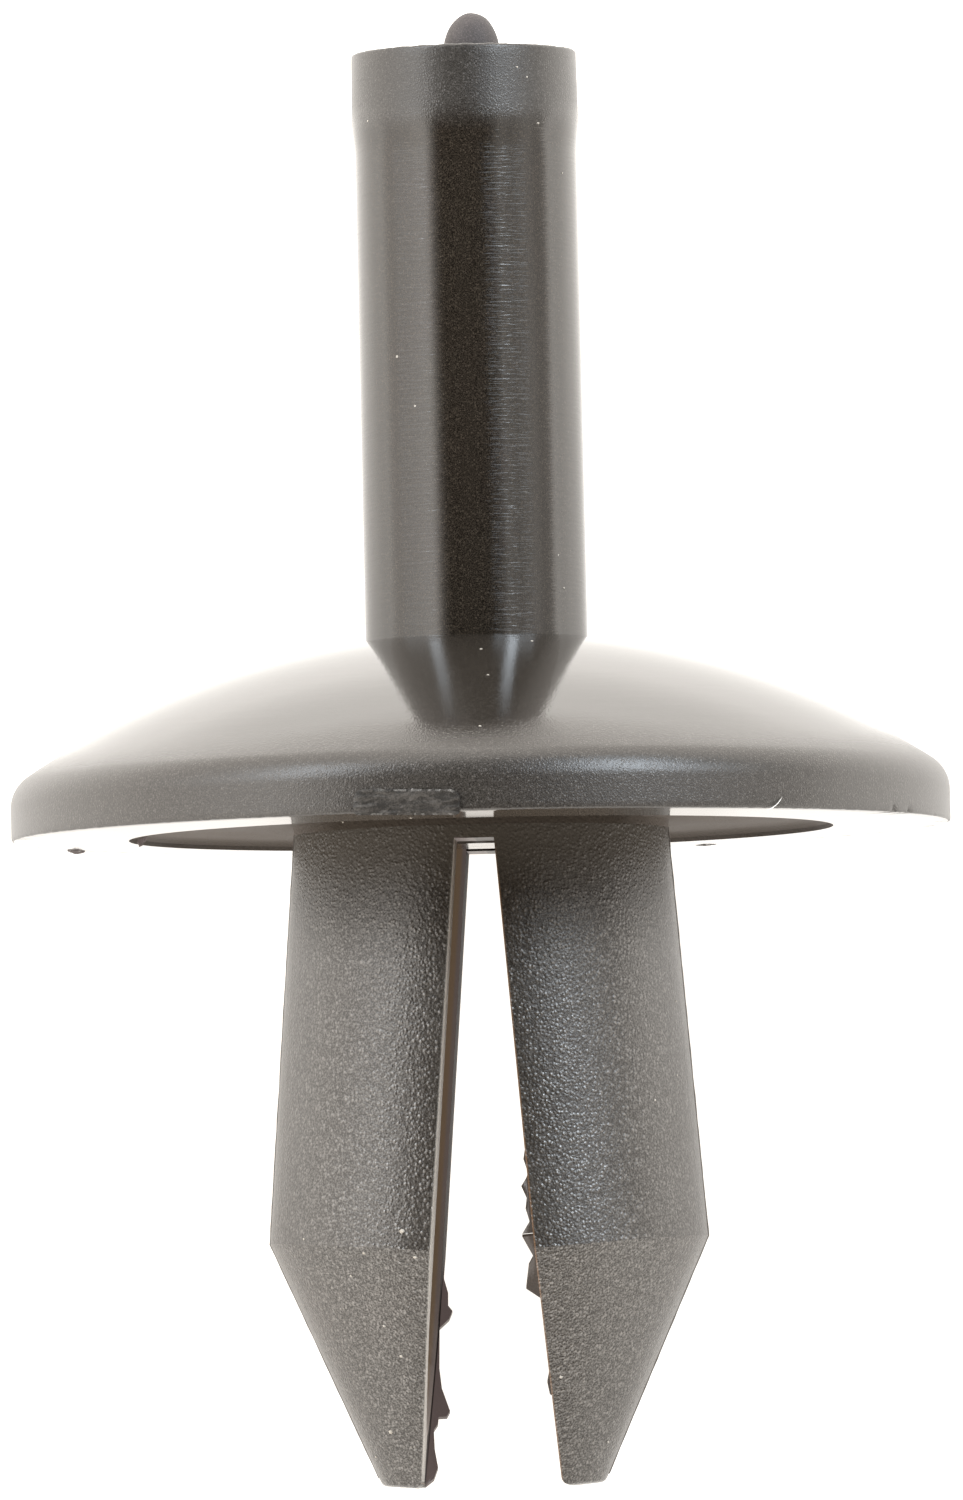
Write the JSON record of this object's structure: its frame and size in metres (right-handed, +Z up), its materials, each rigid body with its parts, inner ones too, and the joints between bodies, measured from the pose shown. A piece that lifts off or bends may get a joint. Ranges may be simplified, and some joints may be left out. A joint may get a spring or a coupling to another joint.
{
  "type": "plastic push rivet",
  "caption": "Plastic push rivet with a low domed head, a split shank with splayed tapered legs, and a drive pin standing proud in its bore, lying at rest.",
  "frame": {"origin": "on the surface that the rivet lies on, under the middle of its bounding box", "axes": "+Z up, +Y along the floor from the leg tips towards the pin's top, +X from the left leg to the right leg"},
  "size_m": [0.018, 0.025, 0.0174],
  "materials": {
    "body_plastic": "dark grey nylon, satin head and fine spark-eroded grain on the legs",
    "pin_plastic": "dark grey nylon, glossy with fine turned rings and a rough band at the top"
  },
  "bodies": {
    "rivet": {"rivet_body": "body_plastic"},
    "pin": {"drive_pin": "pin_plastic"}
  },
  "joints": [
    {"name": "pin_drive", "type": "slide", "parent": "rivet", "child": "pin", "axis": [0, -0.8468, -0.5319], "range_m": [0, 0.0113]}
  ]
}
